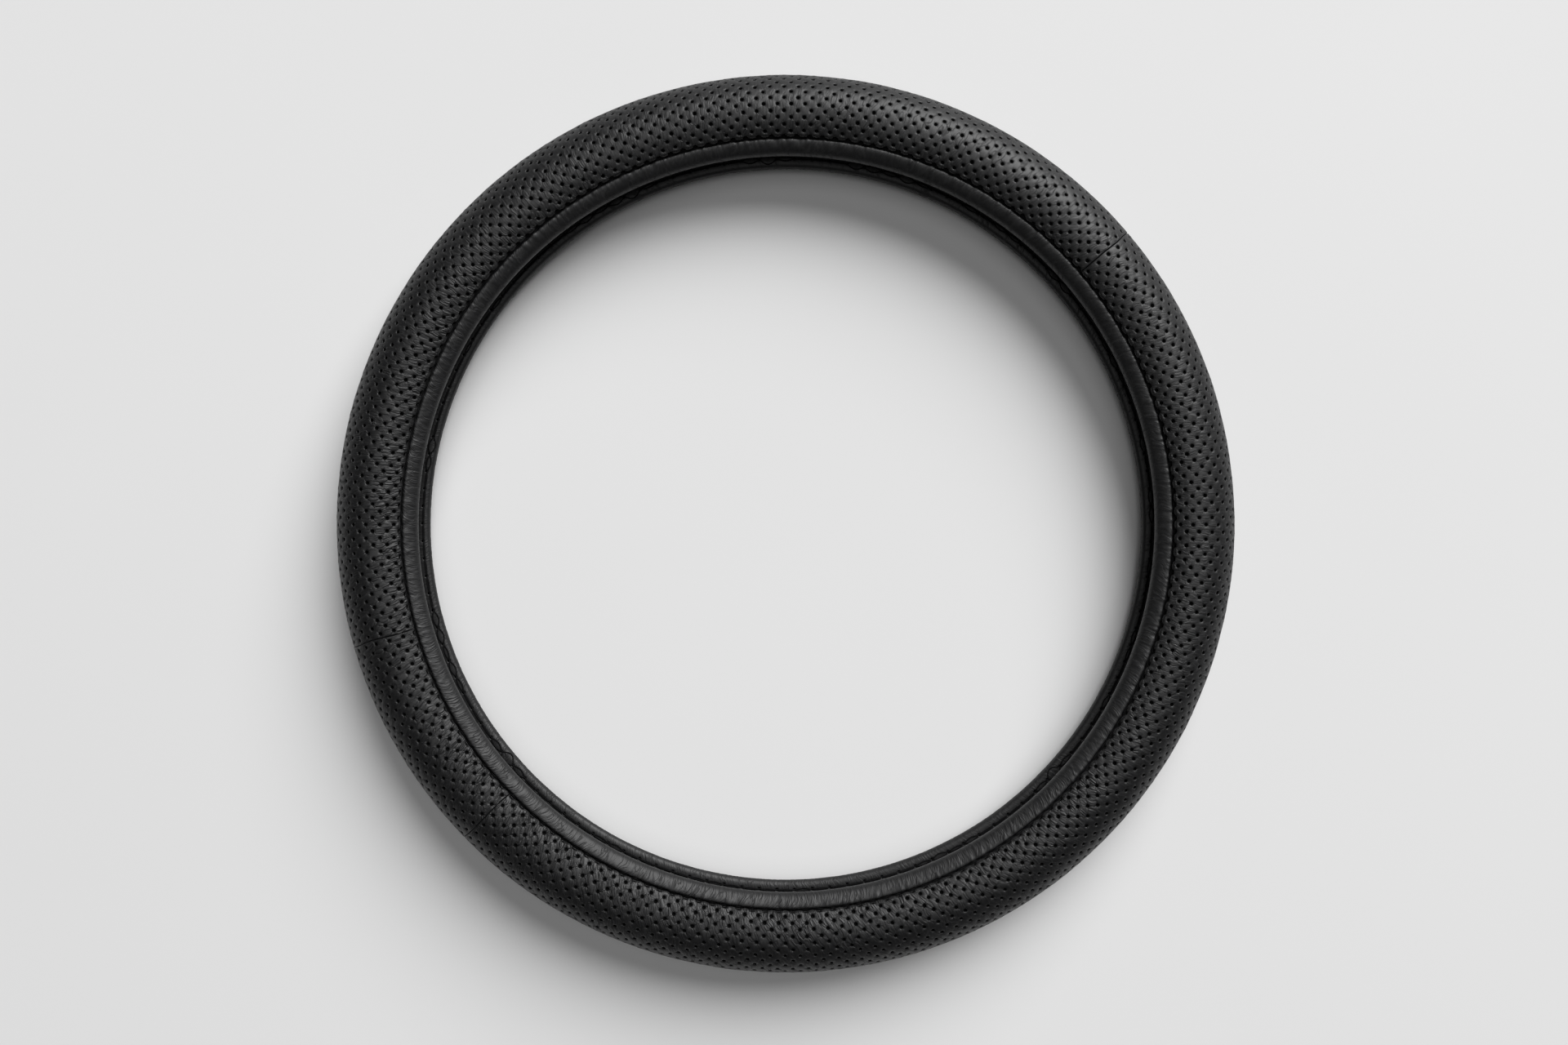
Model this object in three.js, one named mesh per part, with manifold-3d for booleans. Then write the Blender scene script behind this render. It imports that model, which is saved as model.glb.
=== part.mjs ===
// A stitched leather steering wheel cover, lying flat as it comes out of its packing.
//
// A moulded rubber ring of C section gives the cover its round form. Three perforated
// leather panels, sewn end to end, wrap its outside. A smooth leather hem is sewn to each
// inner edge of the panels, folds round the lip of the rubber ring into the channel, and is
// laced down there. The rim of a steering wheel enters the channel through the mouth that
// faces the centre of the ring.
//
// Millimetres, +Z up. The origin is the centre of the ring, on its middle plane.

import * as THREE from "three";
import { mergeVertices } from "three/addons/utils/BufferGeometryUtils.js";
import Module from "manifold-3d";

const wasm = await Module();
wasm.setup();

// Driving dimensions
const OUTER_DIAMETER = 380; // over the leather, at the widest
const SECTION_DIAMETER = 36.4; // of the round tube, over the leather
const LIP_LENGTH = 10.64; // of each lip, from the round tube to the middle of its edge
const LIP_SLOPE = 25; // degrees, fall of each lip towards the mouth
const REST_WIDTH = 6; // flat band on which the cover lies

const LEATHER_THICKNESS = 1.8; // perforated leather with its foam backing
const EDGE_TURN = 0.7; // rounding of the leather's edge into the seam
const PANEL_GAP = 0.4; // between the ends of two panels, at the middle of the tube
const PANEL_SEAMS = { right: 40.4, left: 195.9, lower: 224.4 }; // degrees from +X

const WALL_THICKNESS = 2.6; // rubber ring, over most of its section
const LIP_THICKNESS = 1.6; // rubber ring, at the rounded edge of each lip
const RIB_COUNT = 3; // grip ribs that run round inside the rubber ring
const RIB_PITCH = 7; // from one rib to the next, round the section
const RIB_WIDTH = 2.4; // at its foot
const RIB_CREST = 1.4; // width of its top
const RIB_HEIGHT = 0.7;

const HEM_THICKNESS = 1; // smooth leather, where it folds round the lip
const HEM_BULGE = 1.2; // extra height of the padded hem beside the seam
const HEM_LEAN = 1.7; // how far back from the lip's edge the padding starts to rise
const HEM_WIDTH = 5; // from the middle of the lip's edge out to the seam groove
const HEM_TURN_IN = 4.5; // from the middle of the lip's edge back into the channel

const SEAM_THREAD = 0.7; // diameter of the thread in the seam groove
const LACING_THREAD = 0.6; // diameter of the thread that laces down the hem
const LACING_INSET = 3.7; // from the hem's turned-in edge to the lacing
const CLEARANCE = 0.3; // between pieces that lie on each other

// How finely round forms are divided
const RING_STEPS = 48; // round the ring
const SECTION_STEPS = 8; // round the section, between its top and bottom flats
const EDGE_STEPS = 3; // round the edge of a lip
const HEM_STEPS = 4; // over the padded hem
const THREAD_SIDES = 4;
const FULL_TURN = 360; // degrees
const SECTOR_STEP = 30; // degrees, the sides of the sector that cuts out a panel
const MERGE_DISTANCE = 1e-4; // corners closer than this are one corner

// Colours
const LEATHER_BLACK = "#26272a";
const HEM_BLACK = "#2a2b2d";
const RUBBER_BLACK = "#141415";
const THREAD_BLACK = "#0f0f10";

// Places worked out from the driving dimensions
const SECTION_RADIUS = SECTION_DIAMETER / 2;
const CENTRE_RADIUS = OUTER_DIAMETER / 2 - SECTION_RADIUS;
const RUBBER_RADIUS = SECTION_RADIUS - LEATHER_THICKNESS - CLEARANCE;
const CHANNEL_RADIUS = RUBBER_RADIUS - WALL_THICKNESS;
const MIDDLE_RADIUS = RUBBER_RADIUS - WALL_THICKNESS / 2;
const SLOPE = THREE.MathUtils.degToRad(LIP_SLOPE);
const REST_ANGLE = Math.asin(REST_WIDTH / SECTION_DIAMETER);
const ROLL_RADIUS = LIP_THICKNESS / 2 + CLEARANCE + HEM_THICKNESS;
const SEAM_GROOVE = SEAM_THREAD + 2 * CLEARANCE;

// A point of the section, x from the ring's axis and y up, given by its angle from the top
// of the tube, outwards, and its distance from the tube's centre.
function onTube(angle, radius) {
  return new THREE.Vector2(
    CENTRE_RADIUS + radius * Math.sin(angle),
    radius * Math.cos(angle),
  );
}

// Each lip leaves the round tube along a straight line.
const LIP_START = onTube(-SLOPE, MIDDLE_RADIUS);

// A point of the upper lip: how far back from the middle of its edge, and how far above
// the middle of the rubber. What is below the middle faces the channel.
function onLip(back, above) {
  const along = LIP_LENGTH - back;
  return new THREE.Vector2(
    LIP_START.x - along * Math.cos(SLOPE) - above * Math.sin(SLOPE),
    LIP_START.y - along * Math.sin(SLOPE) + above * Math.cos(SLOPE),
  );
}

// Half the rubber's thickness at a place on the lip, which tapers towards its edge.
function halfRubber(back) {
  const share = THREE.MathUtils.clamp(back / LIP_LENGTH, 0, 1);
  return THREE.MathUtils.lerp(LIP_THICKNESS, WALL_THICKNESS, share) / 2;
}

// The arc round a lip's edge, from the channel's side to the outside.
function lipEdge(radius) {
  const points = [];
  for (let i = 0; i <= EDGE_STEPS; i++) {
    const turn = Math.PI * (1 - i / EDGE_STEPS);
    points.push(onLip(-radius * Math.sin(turn), radius * Math.cos(turn)));
  }
  return points;
}

// The same points below the ring's middle plane, in the opposite order.
function mirrored(points) {
  return points.map((p) => new THREE.Vector2(p.x, -p.y)).reverse();
}

// Points round the tube from the upper lip to the lower one, with a flat band at the top
// and at the bottom.
function tubeArc(radius) {
  const angles = [-SLOPE, -REST_ANGLE];
  for (let i = 0; i <= SECTION_STEPS; i++) {
    angles.push(THREE.MathUtils.lerp(REST_ANGLE, Math.PI - REST_ANGLE, i / SECTION_STEPS));
  }
  angles.push(Math.PI + REST_ANGLE, Math.PI + SLOPE);
  return angles.map((angle) => onTube(angle, radius));
}

// The channel's wall from the upper lip to the lower one, with its grip ribs.
function channelWall() {
  const ribTurn = RIB_PITCH / CHANNEL_RADIUS;
  const foot = RIB_WIDTH / 2 / CHANNEL_RADIUS;
  const crest = RIB_CREST / 2 / CHANNEL_RADIUS;
  const topRib = Math.PI / 2 - ((RIB_COUNT - 1) / 2) * ribTurn;
  const shoulder = (REST_ANGLE + topRib) / 2;
  const above = [-SLOPE, -REST_ANGLE, REST_ANGLE, shoulder].map((angle) =>
    onTube(angle, CHANNEL_RADIUS),
  );
  const ribs = [];
  for (let i = 0; i < RIB_COUNT; i++) {
    const angle = topRib + i * ribTurn;
    ribs.push(
      onTube(angle - foot, CHANNEL_RADIUS),
      onTube(angle - crest, CHANNEL_RADIUS - RIB_HEIGHT),
      onTube(angle + crest, CHANNEL_RADIUS - RIB_HEIGHT),
      onTube(angle + foot, CHANNEL_RADIUS),
    );
  }
  return [...above, ...ribs, ...mirrored(above)];
}

// One full turn of a closed profile about the ring's axis. The profile runs clockwise,
// seen with the axis on its left.
function ringOf(profile) {
  const closed = [...profile, profile[0]].reverse();
  return new THREE.LatheGeometry(closed, RING_STEPS).rotateX(Math.PI / 2);
}

// A moulded rubber ring of C section, with ribs where the wheel's rim bears on it.
function rubberRing() {
  const edge = lipEdge(LIP_THICKNESS / 2);
  return ringOf([
    ...tubeArc(RUBBER_RADIUS),
    ...mirrored(edge),
    ...channelWall().reverse(),
    ...edge,
  ]);
}

// The perforated leather all the way round, before it is cut into panels.
function leatherRing() {
  const edge = HEM_WIDTH + SEAM_GROOVE;
  const top = SECTION_RADIUS - MIDDLE_RADIUS;
  const seamEdge = [
    onLip(edge, halfRubber(edge) + CLEARANCE),
    onLip(edge, top - EDGE_TURN),
    onLip(edge + EDGE_TURN, top),
  ];
  return ringOf([
    ...seamEdge,
    ...tubeArc(SECTION_RADIUS),
    ...mirrored(seamEdge),
    ...tubeArc(RUBBER_RADIUS + CLEARANCE).reverse(),
  ]);
}

// A padded leather hem, folded round the upper lip of the rubber ring.
function hem() {
  const foot = halfRubber(HEM_WIDTH) + CLEARANCE;
  const turnIn = halfRubber(HEM_TURN_IN) + CLEARANCE;
  const crest = ROLL_RADIUS + HEM_BULGE;
  const padding = new THREE.CubicBezierCurve(
    new THREE.Vector2(0, ROLL_RADIUS),
    new THREE.Vector2(HEM_LEAN, crest),
    new THREE.Vector2(HEM_WIDTH, crest + HEM_BULGE),
    new THREE.Vector2(HEM_WIDTH, foot + HEM_THICKNESS),
  );
  const outside = padding.getPoints(HEM_STEPS).slice(1);
  return ringOf([
    onLip(HEM_TURN_IN, -turnIn - HEM_THICKNESS),
    ...lipEdge(ROLL_RADIUS),
    ...outside.map((p) => onLip(p.x, p.y)),
    onLip(HEM_WIDTH, foot),
    ...lipEdge(LIP_THICKNESS / 2 + CLEARANCE).reverse(),
    onLip(HEM_TURN_IN, -turnIn),
  ]);
}

// A thread that runs once round the ring.
function threadRing(centre, diameter) {
  const profile = [];
  for (let i = 0; i < THREAD_SIDES; i++) {
    const turn = (-2 * Math.PI * i) / THREAD_SIDES;
    profile.push(
      new THREE.Vector2(
        centre.x + (diameter / 2) * Math.cos(turn),
        centre.y + (diameter / 2) * Math.sin(turn),
      ),
    );
  }
  return ringOf(profile);
}

// The thread in the groove between the upper hem and the panels.
function seamThread() {
  const back = HEM_WIDTH + SEAM_GROOVE / 2;
  const height = halfRubber(back) + CLEARANCE + SEAM_THREAD / 2;
  return threadRing(onLip(back, height), SEAM_THREAD);
}

// The thread that laces the upper hem down inside the channel.
function lacingThread() {
  const back = HEM_TURN_IN - LACING_INSET;
  const height = halfRubber(back) + HEM_THICKNESS + 2 * CLEARANCE + LACING_THREAD / 2;
  return threadRing(onLip(back, -height), LACING_THREAD);
}

// A closed three.js geometry as a solid that can be cut, and back again.
function solidFrom(geometry) {
  const bare = geometry.index ? geometry.toNonIndexed() : geometry.clone();
  bare.deleteAttribute("normal");
  bare.deleteAttribute("uv");
  const merged = mergeVertices(bare, MERGE_DISTANCE);
  return new wasm.Manifold(
    new wasm.Mesh({
      numProp: 3,
      vertProperties: merged.attributes.position.array,
      triVerts: new Uint32Array(merged.index.array),
    }),
  );
}

function geometryFrom(solid) {
  const cut = solid.getMesh();
  const indexed = new THREE.BufferGeometry();
  indexed.setAttribute("position", new THREE.BufferAttribute(cut.vertProperties, 3));
  indexed.setIndex(new THREE.BufferAttribute(cut.triVerts, 1));
  const flat = indexed.toNonIndexed();
  flat.computeVertexNormals();
  return flat;
}

// The leather between two seams, given in degrees round the ring, anticlockwise.
function panel(from, to) {
  const halfGap = THREE.MathUtils.radToDeg(PANEL_GAP / 2 / CENTRE_RADIUS);
  const sweep = THREE.MathUtils.euclideanModulo(to - from, FULL_TURN);
  const span = sweep - 2 * halfGap;
  const sides = Math.ceil(span / SECTOR_STEP);
  const sector = new THREE.Shape().moveTo(0, 0);
  for (let i = 0; i <= sides; i++) {
    const turn = THREE.MathUtils.degToRad(from + halfGap + (span * i) / sides);
    sector.lineTo(OUTER_DIAMETER * Math.cos(turn), OUTER_DIAMETER * Math.sin(turn));
  }
  const depth = 2 * SECTION_DIAMETER;
  const wedge = new THREE.ExtrudeGeometry(sector, { depth, bevelEnabled: false });
  wedge.translate(0, 0, -depth / 2);
  return geometryFrom(solidFrom(leatherRing()).intersect(solidFrom(wedge)));
}

const leather = new THREE.MeshStandardMaterial({ color: LEATHER_BLACK, roughness: 0.6 });
const hemLeather = new THREE.MeshStandardMaterial({ color: HEM_BLACK, roughness: 0.5 });
const rubber = new THREE.MeshStandardMaterial({ color: RUBBER_BLACK, roughness: 0.85 });
const thread = new THREE.MeshStandardMaterial({ color: THREAD_BLACK, roughness: 0.9 });

function named(name, geometry, material) {
  const mesh = new THREE.Mesh(geometry, material);
  mesh.name = name;
  return mesh;
}

// The pieces along one edge of the mouth. The lower edge is the upper one turned over.
function mouthEdge(side) {
  const edge = new THREE.Group();
  edge.add(
    named(`hem_${side}`, hem(), hemLeather),
    named(`seam_thread_${side}`, seamThread(), thread),
    named(`lacing_thread_${side}`, lacingThread(), thread),
  );
  return edge;
}

const upperEdge = mouthEdge("upper");
const lowerEdge = mouthEdge("lower");
lowerEdge.rotation.x = Math.PI;

const { right, left, lower } = PANEL_SEAMS;
const cover = new THREE.Group();
cover.add(
  named("rubber_ring", rubberRing(), rubber),
  named("panel_top_left", panel(right, left), leather),
  named("panel_joining", panel(left, lower), leather),
  named("panel_lower_right", panel(lower, right), leather),
  upperEdge,
  lowerEdge,
);

export default cover;
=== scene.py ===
"""A stitched, perforated leather steering wheel cover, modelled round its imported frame.

The ring lies flat, with its axis along Z and its middle plane at Z = 0. Shapes are worked
out in millimetres, and a finished mesh is brought to metres by one scale.
"""

import bisect
import math
import random

import bmesh
import bpy
from bpy.props import FloatProperty, FloatVectorProperty, IntProperty, PointerProperty
from mathutils import Matrix, Vector, noise


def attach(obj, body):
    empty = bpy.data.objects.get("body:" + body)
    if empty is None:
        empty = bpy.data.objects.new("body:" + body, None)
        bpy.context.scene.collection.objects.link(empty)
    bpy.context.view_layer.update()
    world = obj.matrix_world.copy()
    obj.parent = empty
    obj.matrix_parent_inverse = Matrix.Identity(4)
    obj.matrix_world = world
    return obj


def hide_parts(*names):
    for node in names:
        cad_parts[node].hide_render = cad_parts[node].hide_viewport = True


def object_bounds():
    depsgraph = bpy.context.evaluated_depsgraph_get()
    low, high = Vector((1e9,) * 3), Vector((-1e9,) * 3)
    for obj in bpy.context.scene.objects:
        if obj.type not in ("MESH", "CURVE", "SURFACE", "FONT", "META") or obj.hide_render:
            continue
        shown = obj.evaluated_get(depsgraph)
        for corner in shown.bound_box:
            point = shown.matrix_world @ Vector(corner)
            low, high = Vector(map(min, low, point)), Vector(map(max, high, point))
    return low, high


bl_info = {
    "name": "Perforated steering wheel cover",
    "version": (1, 0, 0),
    "blender": (4, 5, 0),
    "location": "View3D > Sidebar > Wheel Cover",
    "description": "Models a perforated leather steering wheel cover with laced hems",
    "category": "Add Mesh",
}

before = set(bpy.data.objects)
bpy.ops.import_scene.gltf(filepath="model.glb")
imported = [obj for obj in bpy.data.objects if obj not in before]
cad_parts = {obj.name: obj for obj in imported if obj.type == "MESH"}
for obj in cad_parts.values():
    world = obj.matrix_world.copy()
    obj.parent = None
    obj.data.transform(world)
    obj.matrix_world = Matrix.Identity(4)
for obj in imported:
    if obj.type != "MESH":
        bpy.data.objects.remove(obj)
CAD_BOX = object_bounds()

MM = 0.001  # metres
BODY = "root"


def linear(hex_colour):
    """A colour written as sRGB hex, as the linear values that the shaders take."""
    channels = [int(hex_colour[i:i + 2], 16) / 255 for i in (1, 3, 5)]
    return [c / 12.92 if c <= 0.04045 else ((c + 0.055) / 1.055) ** 2.4 for c in channels]


def length(name, description, millimetres):
    """A length that a user can change, kept in metres."""
    return FloatProperty(
        name=name, description=description, default=millimetres * MM, unit="LENGTH"
    )


def turn(name, description, degrees):
    """An angle that a user can change, kept in radians."""
    return FloatProperty(
        name=name, description=description, default=math.radians(degrees), unit="ROTATION"
    )


def number(name, description, count):
    """A count that a user can change."""
    return IntProperty(name=name, description=description, default=count)


def colour(name, description, hex_colour):
    """A colour that a user can change, kept linear."""
    return FloatVectorProperty(
        name=name, description=description, default=linear(hex_colour), subtype="COLOR",
        min=0, max=1,
    )


class WheelCoverSizes(bpy.types.PropertyGroup):
    """The cover's sizes."""

    outer: length("Outer diameter", "Over the leather, at the widest",
                  (CAD_BOX[1].x - CAD_BOX[0].x) / MM)
    section: length("Section diameter", "Of the round tube, over the leather", 36.4)
    lip: length("Lip length", "From the round tube to the middle of the lip's edge", 10.64)
    slope: turn("Lip slope", "Fall of each lip towards the mouth", 25)
    leather: length("Leather thickness", "Perforated leather with its foam", 1.8)
    edge_turn: length("Edge turn", "Rounding of the leather's edge into the seam", 0.4)
    wall: length("Rubber wall", "Thickness of the rubber ring", 2.6)
    lip_wall: length("Rubber lip", "Thickness of the rubber at the edge of a lip", 1.6)
    rib_pitch: length("Rib pitch", "From one grip rib to the next", 7)
    rib_width: length("Rib width", "Of a grip rib, at its foot", 2.4)
    rib_height: length("Rib height", "Of a grip rib", 0.7)
    hem: length("Hem thickness", "Smooth leather where it folds round the lip", 1)
    hem_bulge: length("Hem bulge", "Extra height of the padded hem beside the seam", 1.2)
    hem_width: length("Hem width", "From the lip's edge out to the seam", 5)
    hem_turn_in: length("Hem turn-in", "From the lip's edge back into the channel", 4.5)
    seam_thread: length("Seam thread", "Diameter of the thread in the seam", 0.7)
    lacing_thread: length("Lacing thread", "Diameter of the lacing thread", 0.6)
    seam_right: turn("Right seam", "Place of the cross seam at the upper right", 40.4)
    seam_left: turn("Left seam", "Place of the cross seam at the left", 195.9)
    seam_lower: turn("Lower seam", "Place of the cross seam at the lower left", 224.4)
    panel_gap: length("Panel gap", "Between the ends of two panels", 0.1)
    row_pitch: length("Row pitch", "From one row of perforations to the next", 2.8)
    hole: length("Perforation", "Diameter of a perforation", 1.4)
    hole_depth: length("Perforation depth", "Down to the foam", 1.1)
    columns_top_left: number("Top left columns", "Of cells, half a hole pitch wide", 164)
    columns_joining: number("Joining columns", "Of cells in the short panel", 28)
    columns_lower_right: number("Lower right columns", "Of cells in the long panel", 176)
    lacing_holes: number("Lacing holes", "Holes punched round each hem", 130)


class WheelCoverColours(bpy.types.PropertyGroup):
    """The cover's colours and its stage's."""

    leather: colour("Perforated leather", "Black dyed leather", "#0f0f10")
    hem: colour("Hem leather", "Black dyed smooth leather", "#0e0e0f")
    # foam: near-black lining of every hole's wall and floor, partly the foam's own colour and
    # partly painted shade of the holes
    foam: colour("Foam", "Foam backing at the bottom of the perforations", "#060606")
    rubber: colour("Rubber", "Moulded black rubber", "#111112")
    thread: colour("Thread", "Waxed black thread", "#0a0a0b")
    floor: colour("Floor", "Pale card under the cover", "#e4e4e4")


# Clearances and finer sizes, in millimetres
CLEARANCE = 0.3  # between pieces that lie on each other
ARC_STEP = 0.2  # between points on a round stretch of the section
HEM_ROUNDING = 1.1  # of the turned-in leather's end
HEM_FULLNESS = {"upper": -0.4, "lower": 0.5}  # extra padding round each lip's edge
WELD = 0.002  # vertices closer than this are one vertex
CURVE_STEPS = 20  # along each curve of the padding

# Handles of the padding's curves, as shares of its sizes
END_SWELL, END_LEAD = 0.4, 0.7
ROLL_START, ROLL_LEAD, ROLL_SWELL = 0.18, 0.26, 0.57
RISE, TOP_LEAD, TOP_END = 0.75, 0.12, 0.76
FALL_LEAD, HANG, DROP, FOOT = 1.06, 1.3, 0.78, 0.6


def mm(metres):
    """Metres as millimetres."""
    return metres / MM


class Section:
    """The ring's cross-section, in millimetres: x out from the ring's axis, y up."""

    def __init__(self, sizes, fullness=0.0):
        self.tube = mm(sizes.section) / 2
        self.centre = mm(sizes.outer) / 2 - self.tube
        self.slope = sizes.slope
        for size in ("lip", "wall", "lip_wall", "edge_turn", "hem", "hem_bulge", "hem_width",
                     "hem_turn_in"):
            setattr(self, size, mm(getattr(sizes, size)))
        self.rubber = self.tube - mm(sizes.leather) - CLEARANCE
        self.middle = self.rubber - self.wall / 2
        self.groove = mm(sizes.seam_thread) + 2 * CLEARANCE
        self.crest = self.lip_wall / 2 + CLEARANCE + self.hem + self.hem_bulge
        self.roll = self.crest - self.hem_bulge + fullness
        self.lip_start = self.on_tube(-self.slope, self.middle)

    def on_tube(self, angle, radius):
        """A point by its angle from the top of the tube, outwards, and its radius."""
        return Vector((self.centre + radius * math.sin(angle), radius * math.cos(angle)))

    def on_lip(self, back, above):
        """A point of the upper lip, back from its edge and above the rubber's middle."""
        along = self.lip - back
        c, s = math.cos(self.slope), math.sin(self.slope)
        return self.lip_start + Vector((-along * c - above * s, -along * s + above * c))

    def along_lip(self, distance, upper=True):
        """A step along a lip, away from its edge."""
        rise = math.sin(self.slope) if upper else -math.sin(self.slope)
        return Vector((math.cos(self.slope), rise)) * distance

    def half_rubber(self, back):
        """Half the rubber's thickness at a place on the lip."""
        share = min(max(back / self.lip, 0), 1)
        return (self.lip_wall + (self.wall - self.lip_wall) * share) / 2

    def tube_arc(self, radius):
        """Points round the tube from the upper lip to the lower one."""
        sweep = math.pi + 2 * self.slope
        count = math.ceil(sweep * radius / ARC_STEP)
        return [self.on_tube(-self.slope + sweep * i / count, radius) for i in range(count + 1)]

    def lip_edge(self, radius):
        """Points round the lip's edge, from the channel's side to the outside."""
        count = math.ceil(math.pi * radius / ARC_STEP)
        turns = [math.pi * (1 - i / count) for i in range(count + 1)]
        return [self.on_lip(-radius * math.sin(t), radius * math.cos(t)) for t in turns]

    def turned_in(self, back):
        """Thickness from the rubber's middle to the padded turned-in leather, whose face
        lies level over the mouth."""
        return self.roll / math.cos(self.slope) + back * math.tan(self.slope)

    def hem_end(self):
        """The rounded end of the turned-in leather, from the rubber to the level face."""
        foot = self.half_rubber(self.hem_turn_in) + CLEARANCE
        flat = self.hem_turn_in - HEM_ROUNDING
        top = self.turned_in(flat)
        lean = HEM_ROUNDING * math.tan(self.slope)
        return self.curve([
            (self.hem_turn_in, -foot), (self.hem_turn_in, foot - top - foot * END_SWELL),
            (flat + HEM_ROUNDING * END_LEAD, -top - lean * END_LEAD), (flat, -top)])

    def hem_roll(self):
        """The full roll of padding from the level face to the foremost line of the edge."""
        start = self.hem_width * ROLL_START
        lead = self.hem_width * -ROLL_LEAD
        return self.curve([(start, -self.turned_in(start)), (lead, -self.turned_in(lead)),
                           (-self.roll, -self.roll * ROLL_SWELL), (-self.roll, 0)])

    def curve(self, handles):
        """Points of a curve, its handles given as places back on the lip and above it."""
        return [self.on_lip(*bezier(handles, i / CURVE_STEPS)) for i in range(CURVE_STEPS + 1)]

    def leather_line(self):
        """The perforated leather's outer side, from one seam groove to the other."""
        edge = self.hem_width + self.groove
        top = self.tube - self.middle
        t = self.edge_turn
        count = math.ceil(math.pi / 2 * t / ARC_STEP)
        turns = [math.pi / 2 * i / count for i in range(count + 1)]
        upper = [self.on_lip(edge, self.half_rubber(edge) + CLEARANCE)]
        upper += [self.on_lip(edge + t - t * math.cos(a), top - t + t * math.sin(a)) for a in turns]
        return [*upper, *self.tube_arc(self.tube), *mirrored(upper)]

    def backing_line(self):
        """The leather's inner side, which lies on the rubber."""
        edge = self.hem_width + self.groove
        foot = [self.on_lip(edge, self.half_rubber(edge) + CLEARANCE)]
        return [*foot, *self.tube_arc(self.rubber + CLEARANCE), *mirrored(foot)]

    def hem_outside(self):
        """The hem's visible side, from its turned-in edge round the lip to the seam, where
        its padding hangs over the thread."""
        width, crest = self.hem_width, self.crest
        foot = self.half_rubber(width) + CLEARANCE
        inner = [(-self.roll, 0), (-self.roll, crest * RISE), (width * TOP_LEAD, crest),
                 (width * TOP_END, crest)]
        outer = [(width * TOP_END, crest), (width * FALL_LEAD, crest),
                 (width * HANG, crest * DROP), (width, foot + self.hem * FOOT)]
        return [*self.hem_end(), *self.hem_roll(), *self.curve(inner)[1:],
                *self.curve(outer)[1:], self.on_lip(width, foot)]

    def hem_edge_stop(self):
        """Distance along the hem's outside to the foremost line of the lip's edge."""
        return Track([*self.hem_end(), *self.hem_roll()]).length

    def hem_inside(self):
        """The hem's hidden side, from the seam back to its turned-in edge."""
        turned = self.half_rubber(self.hem_turn_in) + CLEARANCE
        return [*reversed(self.lip_edge(self.lip_wall / 2 + CLEARANCE)),
                self.on_lip(self.hem_turn_in, -turned)]


def mirrored(points):
    """The same points below the ring's middle plane, in the opposite order."""
    return [Vector((p.x, -p.y)) for p in reversed(points)]


def bezier(handles, t):
    """A point of a cubic curve given by its four handles."""
    u = 1 - t
    weights = (u ** 3, 3 * u * u * t, 3 * u * t * t, t ** 3)
    return Vector([sum(w * h[k] for w, h in zip(weights, handles)) for k in (0, 1)])


SEAM_DRIFT = (0.35, 0.7, 0.1)  # of both hem seams: outwards, towards +X, and in five waves
EDGE_DRIFT = {"upper": (0.38, -20), "lower": (0.45, -65)}  # of each edge, towards an angle


def seam_drift(angle):
    """How far the hem seams lie from their even place. The cover was sewn a little askew."""
    outwards, aside, waves = SEAM_DRIFT
    return outwards + aside * math.cos(angle) + waves * math.cos(5 * angle)


def edge_drift(side, angle):
    """How far a hem's rounded edge lies outwards from its even place."""
    reach, toward = EDGE_DRIFT[side]
    return reach * math.cos(angle - math.radians(toward))


class Track:
    """A line in the section, measured along itself, with its outer side on the left."""

    def __init__(self, points):
        self.points = points
        self.marks = [0.0]
        for a, b in zip(points, points[1:]):
            self.marks.append(self.marks[-1] + (b - a).length)
        self.length = self.marks[-1]

    def at(self, distance):
        """The point at a distance along the line, and the outward direction there."""
        i = bisect.bisect_right(self.marks, distance) - 1
        i = min(max(i, 0), len(self.points) - 2)
        a, b = self.points[i], self.points[i + 1]
        share = (distance - self.marks[i]) / (self.marks[i + 1] - self.marks[i])
        along = (b - a).normalized()
        return a.lerp(b, share), Vector((-along.y, along.x))

    def spread(self, steps):
        """Points at even steps along the whole line."""
        return [self.at(self.length * i / steps)[0] for i in range(steps + 1)]


# Meshes

HIDE_LAYER = "hide"  # millimetres round the ring, wrapped on a cylinder, and across it
FLOOR_LEVEL = mm(CAD_BOX[0].z)
HOLE_VARIETY = 0.07  # how far a hole's size strays, as a share of it
NEW_RIM = 0.01  # width of a hole's ring before it is moved
CREASE_SHARPNESS = 5
WAVES = ((0.09, 14), (0.06, 6.5))  # height and length of the waves of soft leather
LONG_CREASES = (0.045, 3.4, 2.6)  # their depth, pitch and stretch


def around(radius, height, angle):
    """A point of the ring from its place in the section and its angle from +X."""
    return Vector((radius * math.cos(angle), radius * math.sin(angle), height))


def new_object(name, data):
    """A new object in the scene."""
    made = bpy.data.objects.new(name, data)
    bpy.context.scene.collection.objects.link(made)
    return made


def finished(bm, name, materials, slot, *nodes):
    """A mesh object in metres that rides with the frame and stands for CAD nodes."""
    bmesh.ops.scale(bm, vec=(MM, MM, MM), verts=bm.verts)
    for face in bm.faces:
        face.smooth = True
    mesh = bpy.data.meshes.new(name)
    bm.to_mesh(mesh)
    bm.free()
    for material in materials:
        mesh.materials.append(material)
    piece = new_object(name, mesh)
    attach(piece, BODY)
    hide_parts(*nodes)
    return piece


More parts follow.
